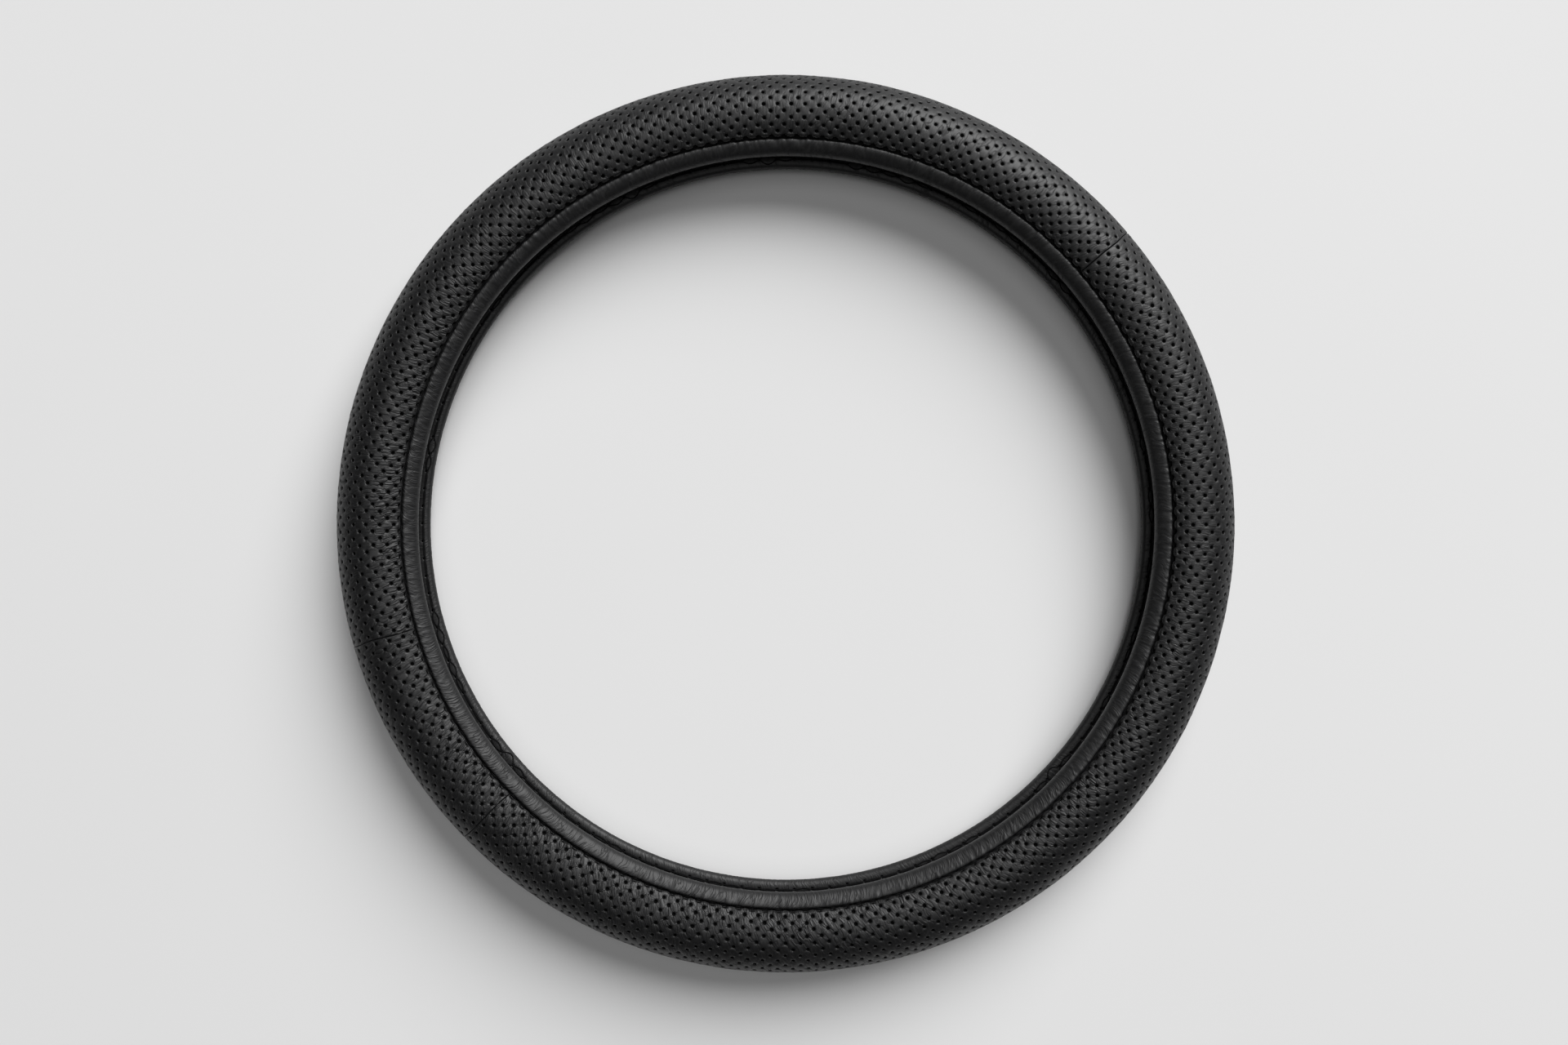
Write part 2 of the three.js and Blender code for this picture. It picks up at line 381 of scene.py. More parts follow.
def punch(bm, faces, stages, rng, wander, material_index):
    """Sinks a round hole in each face, through rings of the given radius and depth.

    The last stages are the hole's wall and floor, and take the material's index."""
    holes = []
    for face in faces:
        centre = face.calc_center_median()
        tangent = Vector((-centre.y, centre.x, 0)).normalized()
        across = face.normal.cross(tangent).normalized()
        reach = [max(abs((v.co - centre).dot(axis)) for v in face.verts)
                 for axis in (tangent, across)]
        size = 1 + rng.uniform(-HOLE_VARIETY, HOLE_VARIETY)
        strays = [rng.uniform(-wander, wander) for _ in range(2)]
        moved = centre + tangent * strays[0] + across * strays[1]
        holes.append((face, centre, moved, tangent, across, face.normal.copy(), reach, size))
    for index, (radius, depth, dark) in enumerate(stages):
        rims = bmesh.ops.inset_individual(bm, faces=faces, thickness=NEW_RIM)["faces"]
        if dark:
            for rim in rims:
                rim.material_index = material_index
        for face, centre, moved, tangent, across, normal, reach, size in holes:
            origin, spans = (centre, reach) if index == 0 else (moved, (1, 1))
            for vert in face.verts:
                away = vert.co - origin
                angle = math.atan2(away.dot(across) / spans[1], away.dot(tangent) / spans[0])
                arm = tangent * math.cos(angle) + across * math.sin(angle)
                vert.co = moved + arm * radius * size - normal * depth
    for face in faces:
        face.material_index = material_index


def extrude_end(bm, edges, x, drop, last_row):
    """Carries the grid's end on to x and down by drop, except at its two corners."""
    made = bmesh.ops.extrude_edge_only(bm, edges=edges)["geom"]
    verts = {g for g in made if isinstance(g, bmesh.types.BMVert)}
    for vert in verts:
        vert.co.x = x
        at_foot = vert.co.y < 0.5 or vert.co.y > last_row - 0.5
        vert.co.z = 0 if at_foot else -drop
    return [g for g in made if isinstance(g, bmesh.types.BMEdge) and set(g.verts) <= verts]


def end_edges(verts, x):
    """The edges of a grid that lie along one of its ends."""
    edges = dict.fromkeys(e for v in verts for e in v.link_edges)
    return [e for e in edges if e.is_boundary and all(abs(v.co.x - x) < WELD for v in e.verts)]


def creases(place, pitch, stretch):
    """Height from 0 in a crease to 1 between creases, which run across the ring."""
    point = Vector((place.x / pitch, place.y / pitch, place.z / (pitch * stretch)))
    return min(abs(noise.noise(point)) * CREASE_SHARPNESS, 1)


def leather_relief(place):
    """Height of the soft leather over its rubber: slow waves and long creases."""
    depth, pitch, stretch = LONG_CREASES
    waves = sum(height * noise.noise(place / size) for height, size in WAVES)
    return waves + depth * (creases(place, pitch, stretch) - 1)


SEAM_ROLL = 0.32  # rounding of a panel's end into a cross seam
HALF_ROLL = 0.6  # place of its middle line, as a share of it
ROLL_DROPS = (0.1, 0.45)  # of its middle line and its end
SEAM_WANDER = (0.9, 13, 40)  # a cross seam's reach and length, and its place in the noise
SEAM_REACH = 14  # how far a seam's wander carries into the panels
PANEL_EDGE = 2  # along the skin, from the foot of the groove to the edge that is seen
EDGE_SLIP = (0, 0.65, 0.35, 0.15)  # of the rows beside a hem, so that holes cut that edge
CELL_CORNERS = 8  # of the face that stands ready for a perforation
PUFF = (0.02, 0.12)  # height of the leather in the middle of four perforations
HOLE_RINGS = ((1.45, 0.04), (1.04, 0.26))  # radius over the perforation's, and depth
HOLE_FLOOR = 0.9  # radius of a perforation's floor, as a share of its own
HOLE_WANDER = 0.12  # how far a hole lies from its even place
SCALLOP = 0.2  # how far the stitches pull the edge of a panel in and out


def seam_wander(seam, across):
    """How far a cross seam strays along the ring, by its place across the section."""
    reach, span, level = SEAM_WANDER
    return reach * noise.noise(Vector((across / span, level * seam, 0)))


def fading(distance, reach):
    """1 at no distance, falling to 0 at reach."""
    return min(max(1 - distance / reach, 0), 1)


def row_stop(row, last, span):
    """The distance of a row of vertices along the skin."""
    from_hem = round(min(row, last - row))
    slip = EDGE_SLIP[from_hem] if from_hem < len(EDGE_SLIP) else 0
    return row / last * span + (slip if row < last / 2 else -slip)


def leather_panel(name, seams, columns, sizes, materials):
    """One perforated panel between two cross seams: a closed skin bent round the ring, with
    blind holes."""
    section = Section(sizes)
    inset = (mm(sizes.panel_gap) / 2 + SEAM_ROLL) / section.centre
    start = seams[0] + inset
    sweep = (seams[1] - seams[0]) % (2 * math.pi) - 2 * inset
    skin = Track(section.leather_line())
    backing = Track(section.backing_line())
    rows = round(skin.length / mm(sizes.row_pitch))
    last = 2 * rows
    ends = 2 * columns
    step = sweep / ends
    roll = SEAM_ROLL / (section.centre * step)

    bm = bmesh.new()
    under = bm.verts.layers.int.new("under")
    hide = bm.verts.layers.float_vector.new(HIDE_LAYER)
    place = Matrix.Translation((columns, rows, 0)) @ Matrix.Diagonal((columns, rows, 1, 1))
    turns = ((0, -HALF_ROLL * roll, -roll), (ends, ends + HALF_ROLL * roll, ends + roll))

    back = bmesh.ops.create_grid(
        bm, x_segments=columns, y_segments=rows, size=1, matrix=place)["verts"]
    border = list(dict.fromkeys(e for v in back for e in v.link_edges if e.is_boundary))
    bmesh.ops.subdivide_edges(bm, edges=border, cuts=1)
    for x, first, second in turns:
        edges = extrude_end(bm, end_edges(list(bm.verts), x), first, 0, last)
        extrude_end(bm, edges, second, 0, last)
    for vert in bm.verts:
        vert[under] = 1

    front = bmesh.ops.create_grid(
        bm, x_segments=ends, y_segments=last, size=1, matrix=place)["verts"]
    for x, first, second in turns:
        edges = extrude_end(bm, end_edges(front, x), first, ROLL_DROPS[0], last)
        edges = extrude_end(bm, edges, second, ROLL_DROPS[1], last)
        made = bmesh.ops.extrude_edge_only(bm, edges=edges)["geom"]
        for item in made:
            if isinstance(item, bmesh.types.BMVert):
                item[under] = 1

    rng = random.Random(name)
    centres = []
    for vert in front:
        column, row = round(vert.co.x), round(vert.co.y)
        if column % 2 and row % 2:
            if (column // 2 + row // 2) % 2 == 0:
                centres.append(vert)
            else:
                vert.co.z = rng.uniform(*PUFF)
    bmesh.ops.dissolve_verts(bm, verts=centres)

    for vert in bm.verts:
        x, y, height = vert.co
        angle = start + x * step
        across = row_stop(y, last, skin.length)
        for seam, away in ((seams[0], x), (seams[1], ends - x)):
            fade = fading(away * section.centre * step, SEAM_REACH)
            angle += fade * seam_wander(seam, across) / section.centre
        vert[hide] = around(section.centre, across, angle)
        if not vert[under] and 0.5 < y < last - 0.5:
            height += leather_relief(vert[hide])
        if vert[under]:
            point, out = backing.at(y / last * backing.length)
        else:
            point, out = skin.at(across)
        from_hem = min(across, skin.length - across)
        upper = across < skin.length / 2
        first = 1 if upper else 1 + 2 * ((rows - 1) % 2)
        pull = seam_drift(angle if upper else -angle) * fading(from_hem, SEAM_REACH)
        beside = fading(abs(from_hem - PANEL_EDGE), PANEL_EDGE)
        pull += SCALLOP * math.cos(math.pi / 2 * (x - first)) * beside
        point += out * height + section.along_lip(pull, upper)
        vert.co = around(point.x, max(point.y, FLOOR_LEVEL), angle)
    bmesh.ops.remove_doubles(bm, verts=bm.verts, dist=WELD)
    bmesh.ops.recalc_face_normals(bm, faces=bm.faces)
    bm.normal_update()

    cells = [face for face in bm.faces if len(face.verts) == CELL_CORNERS]
    radius = mm(sizes.hole) / 2
    stages = [(share * radius, depth, False) for share, depth in HOLE_RINGS]
    # the wall below the rims and the floor take the lining: the foam's own colour with painted
    # shade of the hole
    stages.append((HOLE_FLOOR * radius, mm(sizes.hole_depth), True))
    punch(bm, cells, stages, rng, HOLE_WANDER, 1)
    return finished(bm, name + "_leather", materials, "perforated_leather", name)


def flat_ring(steps, corners):
    """A flat grid, with a column to each step round the ring and a row to each corner of a
    closed outline, and its layer for the place on the hide."""
    bm = bmesh.new()
    hide = bm.verts.layers.float_vector.new(HIDE_LAYER)
    half = Vector((steps / 2, corners / 2, 0))
    place = Matrix.Translation(half) @ Matrix.Diagonal((half.x, half.y, 1, 1))
    bmesh.ops.create_grid(bm, x_segments=steps, y_segments=corners, size=1, matrix=place)
    return bm, hide


def closed_ring(bm):
    """Welds a bent grid to itself both ways and turns its faces outwards."""
    bmesh.ops.remove_doubles(bm, verts=bm.verts, dist=WELD)
    bmesh.ops.recalc_face_normals(bm, faces=bm.faces)
    bm.normal_update()


def place_side(bm, side):
    """Turns a lower piece over, which is made as an upper one."""
    if side == "lower":
        bmesh.ops.rotate(bm, verts=bm.verts, matrix=Matrix.Rotation(math.pi, 3, "X"))


HEM_SPACING = 0.72  # between vertices across the hem
STEPS_PER_LACING_HOLE = 18
LACING_HOLE_REACH = 0.8  # half the height of the cell that holds a lacing hole
LACING_HOLE_ROOM = 1.2  # kept free of other rows beside the holes
LACING_HOLE_BACK = 4.4  # along the leather, from the edge's foremost line to the holes
LACING_CELL_CORNERS = 12
# the last ring's wall and floor take the near-black lining, which here is painted shade
LACING_RINGS = ((0.72, 0.03, False), (0.64, 0.16, False), (0.58, 0.6, True))  # as punch takes
LACING_WANDER = 0.03
TURN_IN_STEPS, HIDDEN_STEPS = 6, 6  # from the turned-in end to the holes, and on the back
WRINKLES = (0.09, 1.9, 4.5)  # depth, pitch and stretch of the hem's wrinkles
WRINKLE_BOW = (1.6, 30, 3.2)  # its reach, how soon it changes, and the length of its wave
SWELLS = (0.06, 9)  # height and length of the hem's slow waves
CRIMPS = ((1.0, 1.5, 2.1), (0.9, 3.4, 5.2))  # share, length and place in the noise
CRIMP_DEPTH, CRIMP_REACH, CRIMP_FULL = 0.36, 3.2, 1.6  # how the stitches crimp the hem
PADDED = 2  # from the lip's edge to where the wrinkles are full
DRIFT_REACH = 6  # how far the seam's drift carries into the hem
LACING_SWAY = (0.3, 1.3)  # of the lacing holes towards the lip's edge: all round, and at -X


def lacing_sway(angle):
    """How far the lacing holes lie towards the lip's edge from their even place."""
    return LACING_SWAY[0] + LACING_SWAY[1] * max(-math.cos(angle), 0) ** 2


def hem_relief(place, angle, from_edge, to_seam):
    """Height of the wrinkles that cross the hem. They fade towards the lip's edge, and the
    stitches crimp the padding beside the seam."""
    depth, pitch, stretch = WRINKLES
    reach, change, wave = WRINKLE_BOW
    height, span = SWELLS
    bow = reach * noise.noise(Vector((place.x / change, place.y / change, 7.3)))
    swing = Vector((-math.sin(angle), math.cos(angle), 0)) * bow * math.sin(place.z / wave)
    wrinkles = creases(place + swing, pitch, stretch) - 1
    crimp = sum(share * noise.noise(Vector((place.x / size, place.y / size, level)))
                for share, size, level in CRIMPS)
    crimp *= CRIMP_DEPTH * min(max(CRIMP_FULL - to_seam / CRIMP_REACH, 0), 1)
    padded = min(max(from_edge / PADDED, 0), 1)
    return padded * (depth * wrinkles + height * noise.noise(place / span) + crimp)


def hem_piece(name, side, sizes, materials):
    """A padded hem, folded round a lip of the rubber and punched for its lacing. The lower
    one is made as an upper one whose angles run the other way, and is then turned over."""
    section = Section(sizes, HEM_FULLNESS[side])
    sense = -1 if side == "lower" else 1
    outside = Track(section.hem_outside())
    inside = Track(section.hem_inside())
    edge = section.hem_edge_stop()
    inset = edge - LACING_HOLE_BACK
    stops = [inset * i / TURN_IN_STEPS for i in range(TURN_IN_STEPS)]
    stops = [s for s in stops if s < inset - LACING_HOLE_ROOM]
    stops += [inset - LACING_HOLE_REACH, inset, inset + LACING_HOLE_REACH]
    rest = outside.length - stops[-1]
    count = math.ceil(rest / HEM_SPACING)
    stops += [stops[-1] + rest * i / count for i in range(1, count + 1)]
    hidden = inside.spread(HIDDEN_STEPS)
    covered = len(stops)

    steps = sizes.lacing_holes * STEPS_PER_LACING_HOLE
    corners = covered + len(hidden)
    hole_row = stops.index(inset)
    bm, hide = flat_ring(steps, corners)
    punched = []
    for vert in bm.verts:
        column, row = round(vert.co.x), round(vert.co.y) % corners
        angle = 2 * math.pi * (column % steps) / steps
        if row < covered:
            stop = stops[row]
            reach = min(stop / inset, fading(stop - inset, LACING_HOLE_BACK))
            stop += lacing_sway(angle) * reach
            to_seam = outside.length - stop
            vert[hide] = around(section.centre, stop, sense * angle)
            point, out = outside.at(stop)
            if 0 < row < covered - 1:
                point += out * hem_relief(vert[hide], sense * angle, stop - edge, to_seam)
            share = fading(to_seam, DRIFT_REACH)
            drift = edge_drift(side, sense * angle) * min(1 - share, stop / edge)
            point += section.along_lip(drift + seam_drift(angle) * share)
        else:
            vert[hide] = around(section.centre, 0, sense * angle)
            point = hidden[row - covered]
        vert.co = around(point.x, point.y, angle)
        if row == hole_row and (column + 1) % STEPS_PER_LACING_HOLE <= 2 and 0 < column < steps:
            punched.append(vert)
    closed_ring(bm)
    punched = [vert for vert in punched if vert.is_valid]
    bmesh.ops.dissolve_verts(bm, verts=punched)
    bm.normal_update()
    cells = [face for face in bm.faces if len(face.verts) == LACING_CELL_CORNERS]
    punch(bm, cells, LACING_RINGS, random.Random(name), LACING_WANDER, 1)
    place_side(bm, side)
    return finished(bm, name + "_leather", materials, "smooth_leather", name)


THREAD_SIDES = 8
PLY = 0.18  # how far a thread's two plies stand out, as a share of its radius
STITCHES, STITCH_DIP, SEAM_LIFT = 180, 0.7, 0.15  # of the seam
SEAM_SWAY = (0.08, 20)  # how far the seam thread sways, and its circle in the noise
SLACK = (0.25, 4, 0.37, 4.1)  # of the lacing: always, at most, and its place in the noise
BACK_SWING = -0.8  # of the second lap, where the first one's is 1
LACING_LIFT = (0.8, 3, 0.4)  # its rise, steepness and sink, over the diameter


def thread_piece(name, side, diameter, steps, laps, twist, path, materials):
    """A twisted thread that runs round the ring along path(angle), in one lap or more."""
    sides = THREAD_SIDES
    bm, hide = flat_ring(steps, sides)
    angles = [laps * 2 * math.pi * (column % steps) / steps for column in range(steps + 1)]
    centres = [path(angle) for angle in angles]
    for vert in bm.verts:
        column, row = round(vert.co.x), round(vert.co.y)
        angle, centre = angles[column], centres[column]
        turned = 2 * math.pi * (row % sides) / sides
        radius = diameter / 2 * (1 + PLY * math.cos(2 * turned - twist * angle))
        vert[hide] = around(centre.x, row * math.pi * diameter / sides, angle)
        vert.co = around(centre.x + radius * math.cos(turned),
                         centre.y + radius * math.sin(turned), angle)
    closed_ring(bm)
    place_side(bm, side)
    return finished(bm, name + "_cord", materials, "thread", name)


def seam_path(sizes):
    """The seam thread's middle, which dips at each stitch."""
    section = Section(sizes)
    back = section.hem_width + section.groove / 2
    rest = section.half_rubber(back) + CLEARANCE + mm(sizes.seam_thread) / 2

    def path(angle):
        dip = STITCH_DIP * (0.5 + 0.5 * math.cos(STITCHES * angle))
        sway = SEAM_SWAY[0] * noise.noise(around(SEAM_SWAY[1], 0, angle))
        return section.on_lip(back + sway + seam_drift(angle), rest + SEAM_LIFT - dip)

    return path


def lacing_path(side, sizes):
    """The lacing's middle. In its first lap it swings towards the lip's edge from each hole
    to the next, and in its second lap away from it. Some stitches are slack, most tight."""
    section = Section(sizes, HEM_FULLNESS[side])
    outside = Track(section.hem_outside())
    holes = section.hem_edge_stop() - LACING_HOLE_BACK
    sense = -1 if side == "lower" else 1

    def path(angle):
        lap, turned = divmod(angle, 2 * math.pi)
        wave = turned * sizes.lacing_holes / 2
        stitch = math.floor(wave / math.pi)
        always, most, pace, level = SLACK
        slack = always + most * max(noise.noise(Vector((pace * stitch, level, 0))), 0)
        bow = abs(math.sin(wave))
        swing = bow * slack * (1 if lap < 0.5 else BACK_SWING)
        rise, steepness, sink = LACING_LIFT
        lift = mm(sizes.lacing_thread) * (rise * min(steepness * bow, 1) - sink)
        point, out = outside.at(holes + lacing_sway(turned) + swing)
        drift = section.along_lip(edge_drift(side, sense * turned))
        return point + out * lift + drift

    return path


RUBBER_STEPS = 300  # round the ring
WALL_STEPS, TUBE_STEPS, LIP_STEPS = 48, 40, 6  # across the channel, the tube and a lip
RIB_FULLNESS = 1.6  # gives a grip rib its flat top


def rubber_piece(sizes, materials):
    """The moulded rubber ring of C section, with its grip ribs."""
    section = Section(sizes)
    channel = section.rubber - section.wall
    pitch = mm(sizes.rib_pitch) / channel
    foot = mm(sizes.rib_width) / 2 / channel
    wall = []
    sweep = math.pi + 2 * section.slope
    for i in range(WALL_STEPS + 1):
        angle = -section.slope + sweep * i / WALL_STEPS
        nearest = min(abs(angle - math.pi / 2 - k * pitch) for k in (-1, 0, 1))
        rise = mm(sizes.rib_height) * min(max(RIB_FULLNESS * (1 - nearest / foot), 0), 1)
        wall.append(section.on_tube(angle, channel - rise))
    lip = Track(section.lip_edge(section.lip_wall / 2)).spread(LIP_STEPS)
    outline = Track(section.tube_arc(section.rubber)).spread(TUBE_STEPS)
    outline += [*mirrored(lip), *reversed(wall), *lip]
    bm, hide = flat_ring(RUBBER_STEPS, len(outline))
    for vert in bm.verts:
        point = outline[round(vert.co.y) % len(outline)]
        vert.co = around(point.x, point.y, 2 * math.pi * vert.co.x / RUBBER_STEPS)
        vert[hide] = vert.co
    closed_ring(bm)
    return finished(bm, "rubber_core", materials, "rubber", "rubber_ring")


# Materials

MATH = "ShaderNodeMath"
VECTOR = "ShaderNodeVectorMath"
RANGE = "ShaderNodeMapRange"
NOISE = "ShaderNodeTexNoise"


def connect(tree, node, inputs):
    """Gives each input its value, or links it where it is given another node's output."""
    for name, value in inputs.items():
        if isinstance(value, bpy.types.NodeSocket):
            tree.links.new(value, node.inputs[name])
        else:
            node.inputs[name].default_value = value


def add(tree, kind, inputs=None, output=0, **settings):
    """Adds a node with its settings and links, and returns the output asked for."""
    node = tree.nodes.new(kind)
    for name, value in settings.items():
        setattr(node, name, value)
    connect(tree, node, inputs or {})
    return node.outputs[output]


def new_material(name):
    """A new material with its tree and its shader."""
    material = bpy.data.materials.new(name)
    material.use_nodes = True
    tree = material.node_tree
    return material, tree, tree.nodes["Principled BSDF"]


def hide_place(tree, scale, stretch=(1, 1, 1), shift=(0, 0, 0)):
    """The place on the hide, in units of a size in millimetres."""
    source = add(tree, "ShaderNodeAttribute", output="Vector", attribute_name=HIDE_LAYER)
    moved = add(tree, VECTOR, {0: source, 1: shift}, operation="ADD")
    sizes = [1 / (scale * s) for s in stretch]
    return add(tree, VECTOR, {0: moved, 1: sizes}, operation="MULTIPLY")


def warp(tree, pitch, reach):
    """A push of up to reach millimetres each way that changes over pitch millimetres."""
    field = add(tree, NOISE, {"Vector": hide_place(tree, pitch), "Scale": 1.0, "Detail": 1.0},
                "Color")
    centred = add(tree, VECTOR, {0: field, 1: (0.5, 0.5, 0.5)}, operation="SUBTRACT")
    return add(tree, VECTOR, {0: centred, 1: (4 * reach,) * 3}, operation="MULTIPLY")


# Slant and depth of the creases: a mean, and what is added by the direction along the ring
LEAN = (0.1, (0.3, -0.15, 0))
DEEPER = (0.75, (0.27, -0.22, 0))


def round_the_ring(tree, along, change):
    """A value that changes once round the ring."""
    mean, direction = change
    turned = add(tree, VECTOR, {0: along, 1: direction}, "Value", operation="DOT_PRODUCT")
    return add(tree, MATH, {0: turned, 1: mean}, operation="ADD")


def comb(tree, along, away, slant, middle, bow):
    """The push along the ring that slants the creases, and bows them about a middle."""
    lean = round_the_ring(tree, along, (slant * LEAN[0], [slant * part for part in LEAN[1]]))
    off = add(tree, MATH, {0: away, 1: middle}, operation="SUBTRACT")
    square = add(tree, MATH, {0: off, 1: off}, operation="MULTIPLY")
    bowed = add(tree, MATH, {0: square, 1: bow}, operation="MULTIPLY")
    slid = add(tree, MATH, {0: away, 1: lean, 2: bowed}, operation="MULTIPLY_ADD")
    return add(tree, VECTOR, {0: along, "Scale": slid}, operation="SCALE")


def crease_field(tree, pitch, stretch, width, push):
    """0 along creases that run across the ring and 1 between them."""
    place = hide_place(tree, pitch, (1, 1, stretch), push)
    field = add(tree, NOISE, {"Vector": place, "Scale": 1.0, "Detail": 1.5, "Roughness": 0.45})
    centred = add(tree, MATH, {0: field, 1: 0.5}, operation="SUBTRACT")
    away = add(tree, MATH, {0: centred}, operation="ABSOLUTE")
    return add(tree, RANGE, {"Value": away, "From Max": width}, interpolation_type="SMOOTHSTEP")


def shaded(tree, base, field, dark, light):
    """The base colour, times dark where the field is 0 and light where it is 1."""
    level = add(tree, RANGE, {"Value": field, "To Min": dark, "To Max": light})
    return add(tree, VECTOR, {0: base, "Scale": level}, operation="SCALE")


FOLD_STRETCH = 9.0  # length of a fold over its width
FOLD_WIDTH, CREASE_WIDTH = 0.2, 0.04  # as crease_field takes them
GRAIN, GRAIN_DEPTH = 0.5, 0.02  # width and depth of a pebble of the grain
WARP = (7.0, 0.9)  # pitch and reach of the push that bends the folds
MOTTLE = 16  # size of the patches in which the folds are deeper


def leather(name, base, pitch, depth, roughness, calm, full, least, slant, bow):
    """Dyed and finished cowhide: a thin black film with a broad soft gloss, broken by fine
    folds across the ring, sharper creases and a pebbled grain. The folds have their least
    depth at one calm place across the hide, and are full from so many millimetres away."""
    material, tree, shader = new_material(name)
    place = hide_place(tree, 1)
    across = add(tree, "ShaderNodeSeparateXYZ", {0: place}, "Z")
    off = add(tree, MATH, {0: across, 1: calm}, operation="SUBTRACT")
    away = add(tree, MATH, {0: off}, operation="ABSOLUTE")
    crossed = add(tree, VECTOR, {0: (0, 0, 1), 1: place}, operation="CROSS_PRODUCT")
    along = add(tree, VECTOR, {0: crossed}, operation="NORMALIZE")
    combed = comb(tree, along, away, slant, 0.7 * full, bow)
    push = add(tree, VECTOR, {0: warp(tree, *WARP), 1: combed}, operation="ADD")

    folds = crease_field(tree, pitch, FOLD_STRETCH, FOLD_WIDTH, push)
    creased = crease_field(tree, 1.9 * pitch, 0.8 * FOLD_STRETCH, CREASE_WIDTH, push)
    grain = add(tree, "ShaderNodeTexVoronoi", {"Vector": hide_place(tree, GRAIN), "Scale": 1.0},
                "Distance", feature="SMOOTH_F1")
    mottle = add(tree, NOISE, {"Vector": hide_place(tree, MOTTLE), "Scale": 1.0, "Detail": 3.0})
    near_seam = add(tree, RANGE, {"Value": away, "From Min": 0.4 * full, "From Max": full,
                                  "To Min": least})
    patches = add(tree, RANGE, {"Value": mottle, "From Min": 0.4, "From Max": 0.6,
                                "To Min": 0.6})
    local = add(tree, MATH, {0: near_seam, 1: patches}, operation="MULTIPLY")
    deeper = round_the_ring(tree, along, DEEPER)
    strength = add(tree, MATH, {0: local, 1: deeper}, operation="MULTIPLY")
    wrinkles = add(tree, MATH, {0: creased, 1: 0.8, 2: folds}, operation="MULTIPLY_ADD")
    relief = add(tree, MATH, {0: wrinkles, 1: strength}, operation="MULTIPLY")
    pebbles = add(tree, MATH, {0: grain, 1: -GRAIN_DEPTH}, operation="MULTIPLY")
    height = add(tree, MATH, {0: relief, 1: depth, 2: pebbles}, operation="MULTIPLY_ADD")
    connect(tree, shader, {
        "Base Color": shaded(tree, base, mottle, 0.85, 1.15),
        "Roughness": add(tree, RANGE, {"Value": creased, "To Min": roughness + 0.2,
                                       "To Max": roughness}),
        "Normal": add(tree, "ShaderNodeBump", {"Height": height, "Distance": MM}),
    })
    return material


def foam(name, base):
    """Near-black matt lining for the walls and floors of holes, which swallows nearly all light:
    the open-cell foam's own colour under the perforations, together with painted shade of each
    hole; in the hems' lacing holes, which reach no foam, it is painted shade only.
    """
    material, tree, shader = new_material(name)
    cells = add(tree, NOISE, {"Vector": hide_place(tree, 0.3), "Scale": 1.0})
    connect(tree, shader, {
        "Base Color": shaded(tree, base, cells, 0.7, 1.3),
        "Roughness": 1.0,
        "Specular IOR Level": 0.1,
    })
    return material


def moulded_rubber(name, base):
    """Rubber from a steel mould: matt, faintly orange-peeled and dusty."""
    material, tree, shader = new_material(name)
    peel = add(tree, NOISE, {"Vector": hide_place(tree, 0.8), "Scale": 1.0, "Detail": 3.0})
    dust = add(tree, NOISE, {"Vector": hide_place(tree, 20), "Scale": 1.0, "Detail": 4.0})
    connect(tree, shader, {
        "Base Color": shaded(tree, base, dust, 0.8, 1.3),
        "Roughness": 0.8,
        "Specular IOR Level": 0.35,
        "Normal": add(tree, "ShaderNodeBump", {"Height": peel, "Distance": 0.06 * MM}),
    })
    return material


def waxed_thread(name, base):
    """Waxed polyester thread, worn matt: fine black filaments that trap the light."""
    material, tree, shader = new_material(name)
    filaments = add(tree, NOISE, {"Vector": hide_place(tree, 0.25, (4, 4, 1)), "Scale": 1.0,
                                  "Detail": 2.0})
    connect(tree, shader, {
        "Base Color": shaded(tree, base, filaments, 0.7, 1.4),
        "Roughness": 0.8,
        "Specular IOR Level": 0.15,
        "Normal": add(tree, "ShaderNodeBump", {"Height": filaments, "Distance": 0.08 * MM}),
    })
    return material


def pale_card(name, base):
    """Matt painted board for the floor."""
    material, tree, shader = new_material(name)
    place = add(tree, "ShaderNodeTexCoord", output="Object")
    cloud = add(tree, NOISE, {"Vector": place, "Scale": 4.0, "Detail": 2.0})
    connect(tree, shader, {
        "Base Color": shaded(tree, base, cloud, 0.985, 1.015),
        "Roughness": 0.9,
        "Specular IOR Level": 0.1,
    })
    return material


# Stage

CAMERA_HEIGHT = 0.6  # above the ring's middle plane, in metres
CAMERA_OFFSET = (-0.0007, 0.0005)  # the ring's centre lies a little off the picture's
FOCAL_LENGTH, SENSOR_WIDTH = 32.4, 36  # millimetres
FLOOR_RADIUS = 4.0  # metres
SURROUND = 0.76  # brightness of the surround beyond the floor, where 1 is white


def stage_camera():
    """A camera straight above the ring."""
    data = bpy.data.cameras.new("camera")
    data.lens = FOCAL_LENGTH
    data.sensor_width = SENSOR_WIDTH
    camera = new_object("camera", data)
    camera.location = (*CAMERA_OFFSET, CAMERA_HEIGHT)
    bpy.context.scene.camera = camera


def stage_floor(base):
    """A round pale floor at the height that the cover lies on."""
    bm = bmesh.new()
    bmesh.ops.create_circle(bm, cap_ends=True, segments=96, radius=FLOOR_RADIUS)
    bmesh.ops.translate(bm, vec=(0, 0, CAD_BOX[0].z), verts=bm.verts)
    mesh = bpy.data.meshes.new("floor")
    bm.to_mesh(mesh)
    bm.free()
    mesh.materials.append(pale_card("painted_board", base))
    floor = new_object("floor", mesh)


def lamp(name, azimuth, elevation, distance, spread, strength):
    """A round soft lamp that faces the ring's centre, spread wide as seen from there. At a
    strength of 1 it lights a surface that faces it so that a colour renders as written."""
    data = bpy.data.lights.new(name, "AREA")
    data.shape = "DISK"
    data.size = 2 * distance * math.tan(math.radians(spread) / 2)
    data.energy = strength * (math.pi * distance) ** 2
    turned = math.radians(azimuth)
    raised = math.radians(elevation)
    away = Vector((math.cos(raised) * math.cos(turned), math.cos(raised) * math.sin(turned),
                   math.sin(raised)))
    light = new_object(name, data)
    light.location = away * distance
    light.rotation_mode = "QUATERNION"
    light.rotation_quaternion = away.to_track_quat("Z", "Y")


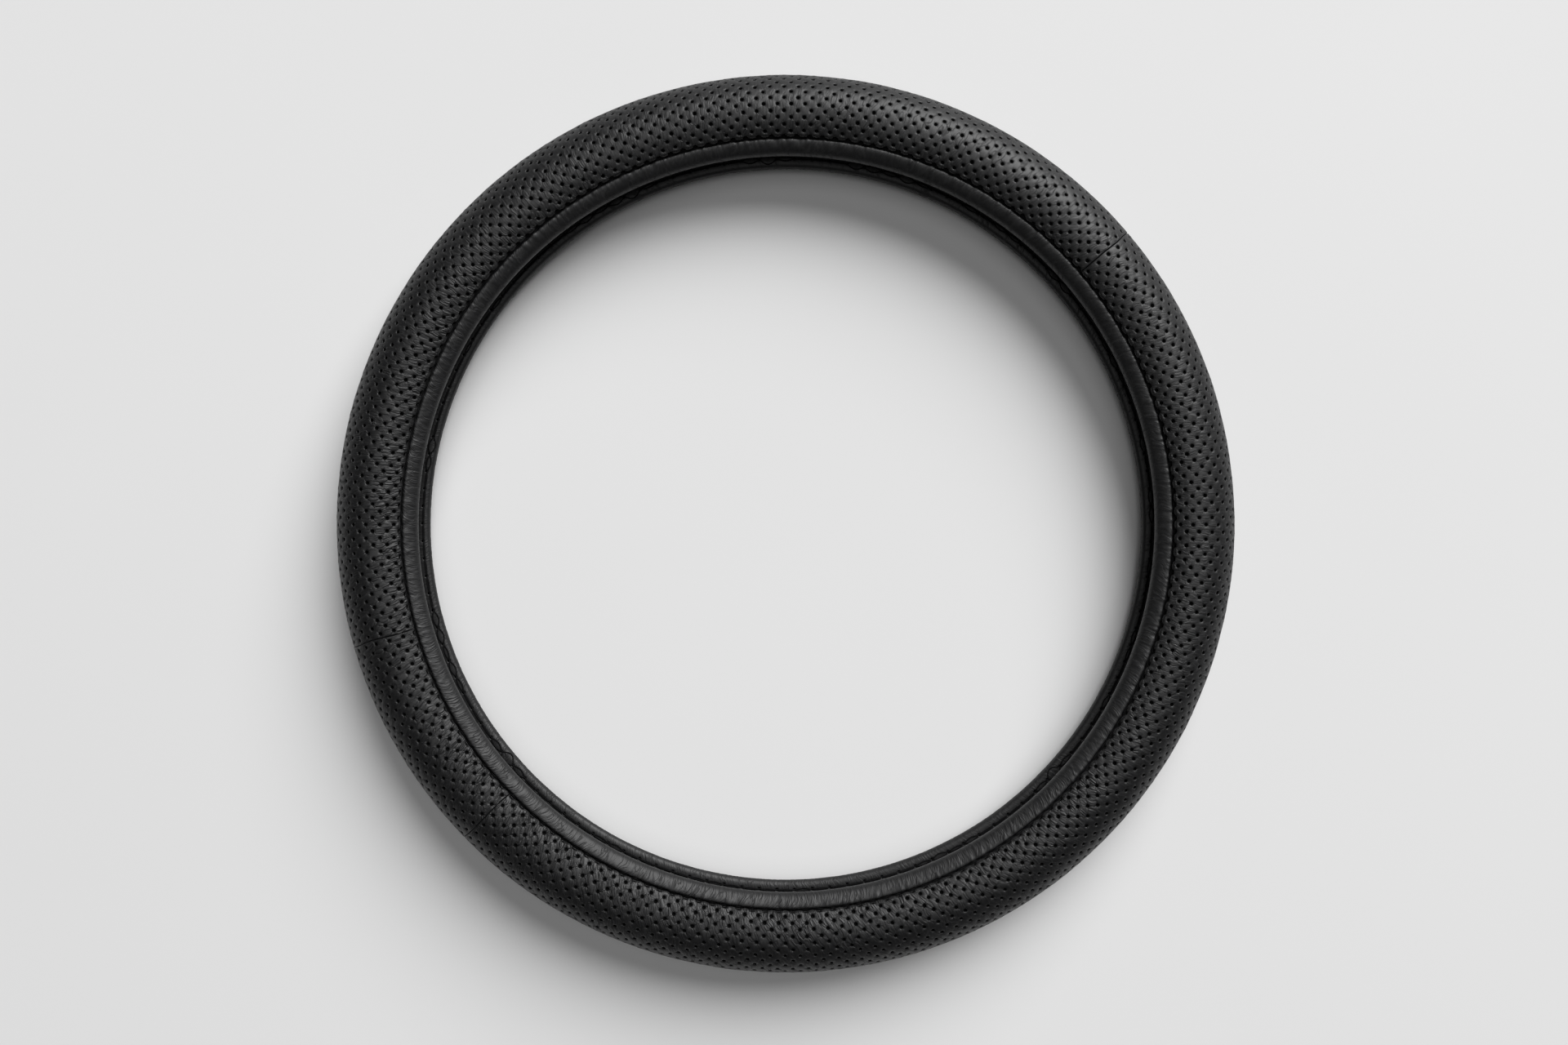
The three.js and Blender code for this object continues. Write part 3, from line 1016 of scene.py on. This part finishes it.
def stage_world(level):
    """A surround that is pale to the camera and hardly lights the ring."""
    world = bpy.data.worlds.new("surround")
    world.use_nodes = True
    tree = world.node_tree
    seen = add(tree, "ShaderNodeLightPath", output="Is Camera Ray")
    strength = add(tree, RANGE, {"Value": seen, "To Min": level, "To Max": SURROUND})
    connect(tree, tree.nodes["Background"], {"Color": (1, 1, 1, 1), "Strength": strength})
    bpy.context.scene.world = world


class WHEEL_COVER_OT_rubber(bpy.types.Operator):
    """Moulds the rubber ring inside the cover."""

    bl_idname = "wheel_cover.rubber"
    bl_label = "Rubber ring"

    def execute(self, context):
        """Makes the ring."""
        scene = context.scene
        rubber_piece(scene.cover_sizes,
                     [moulded_rubber("moulded_rubber", scene.cover_colours.rubber)])
        return {"FINISHED"}


class WHEEL_COVER_OT_panels(bpy.types.Operator):
    """Makes the three perforated leather panels."""

    bl_idname = "wheel_cover.panels"
    bl_label = "Perforated panels"

    def execute(self, context):
        """Makes each panel between its two cross seams."""
        sizes = context.scene.cover_sizes
        colours = context.scene.cover_colours
        materials = [
            leather("perforated_cowhide", colours.leather, pitch=1.3, depth=0.23,
                    roughness=0.48, calm=36, full=30, least=0.35, slant=1, bow=0),
            # lining of the perforations: the foam's own colour with painted shade of the holes
            foam("backing_foam_and_hole_shade", colours.foam),
        ]
        for name, start, end, columns in (
            ("panel_top_left", sizes.seam_right, sizes.seam_left, sizes.columns_top_left),
            ("panel_joining", sizes.seam_left, sizes.seam_lower, sizes.columns_joining),
            ("panel_lower_right", sizes.seam_lower, sizes.seam_right, sizes.columns_lower_right),
        ):
            leather_panel(name, (start, end), columns, sizes, materials)
        return {"FINISHED"}


class WHEEL_COVER_OT_hems(bpy.types.Operator):
    """Makes the two padded hems."""

    bl_idname = "wheel_cover.hems"
    bl_label = "Hems"

    def execute(self, context):
        """Makes the upper and the lower hem."""
        sizes = context.scene.cover_sizes
        colours = context.scene.cover_colours
        materials = [
            leather("smooth_cowhide", colours.hem, pitch=1.2, depth=0.085,
                    roughness=0.5, calm=10.5, full=5, least=0.8, slant=0, bow=0.1),
            # lining of the lacing holes, which reach no foam: painted shade
            foam("hole_shade", colours.foam),
        ]
        for side in ("upper", "lower"):
            hem_piece(f"hem_{side}", side, sizes, materials)
        return {"FINISHED"}


class WHEEL_COVER_OT_threads(bpy.types.Operator):
    """Sews the seams and laces the hems."""

    bl_idname = "wheel_cover.threads"
    bl_label = "Threads"

    def execute(self, context):
        """Makes the seam thread and the lacing thread of each side."""
        sizes = context.scene.cover_sizes
        material = waxed_thread("waxed_thread", context.scene.cover_colours.thread)
        for side in ("upper", "lower"):
            thread_piece(f"seam_thread_{side}", side, mm(sizes.seam_thread), steps=1800,
                         laps=1, twist=700, path=seam_path(sizes), materials=[material])
            thread_piece(f"lacing_thread_{side}", side, mm(sizes.lacing_thread), steps=4160,
                         laps=2, twist=800, path=lacing_path(side, sizes), materials=[material])
        return {"FINISHED"}


class WHEEL_COVER_OT_stage(bpy.types.Operator):
    """Sets the camera, the floor and the lamps."""

    bl_idname = "wheel_cover.stage"
    bl_label = "Stage"

    def execute(self, context):
        """Makes everything that isn't part of the cover."""
        stage_camera()
        stage_floor(context.scene.cover_colours.floor)
        lamp("window", azimuth=61, elevation=38, distance=10, spread=45, strength=1.48)
        lamp("overhead", azimuth=0, elevation=90, distance=4, spread=41, strength=0.22)
        stage_world(level=0.015)
        context.scene.view_settings.view_transform = "Standard"
        return {"FINISHED"}


class WHEEL_COVER_PT_panel(bpy.types.Panel):
    """Lists the steps that make the cover."""

    bl_idname = "WHEEL_COVER_PT_panel"
    bl_label = "Wheel Cover"
    bl_space_type = "VIEW_3D"
    bl_region_type = "UI"
    bl_category = "Wheel Cover"

    def draw(self, context):
        """Draws a button for each step, and the sizes and colours below."""
        for step in OPERATORS:
            self.layout.operator(step.bl_idname)
        for group in (context.scene.cover_sizes, context.scene.cover_colours):
            box = self.layout.box()
            for name in group.__annotations__:
                box.prop(group, name)


OPERATORS = (
    WHEEL_COVER_OT_stage,
    WHEEL_COVER_OT_rubber,
    WHEEL_COVER_OT_panels,
    WHEEL_COVER_OT_hems,
    WHEEL_COVER_OT_threads,
)
CLASSES = (WheelCoverSizes, WheelCoverColours, *OPERATORS, WHEEL_COVER_PT_panel)


def register():
    """Registers the classes and hangs the settings on the scene."""
    for cls in CLASSES:
        bpy.utils.register_class(cls)
    bpy.types.Scene.cover_sizes = PointerProperty(type=WheelCoverSizes)
    bpy.types.Scene.cover_colours = PointerProperty(type=WheelCoverColours)


def unregister():
    """Takes the settings and the classes away again."""
    del bpy.types.Scene.cover_colours
    del bpy.types.Scene.cover_sizes
    for cls in reversed(CLASSES):
        bpy.utils.unregister_class(cls)


def main():
    """Builds the whole scene."""
    register()
    bpy.ops.wheel_cover.stage()
    bpy.ops.wheel_cover.rubber()
    bpy.ops.wheel_cover.panels()
    bpy.ops.wheel_cover.hems()
    bpy.ops.wheel_cover.threads()


if __name__ == "__main__":
    main()
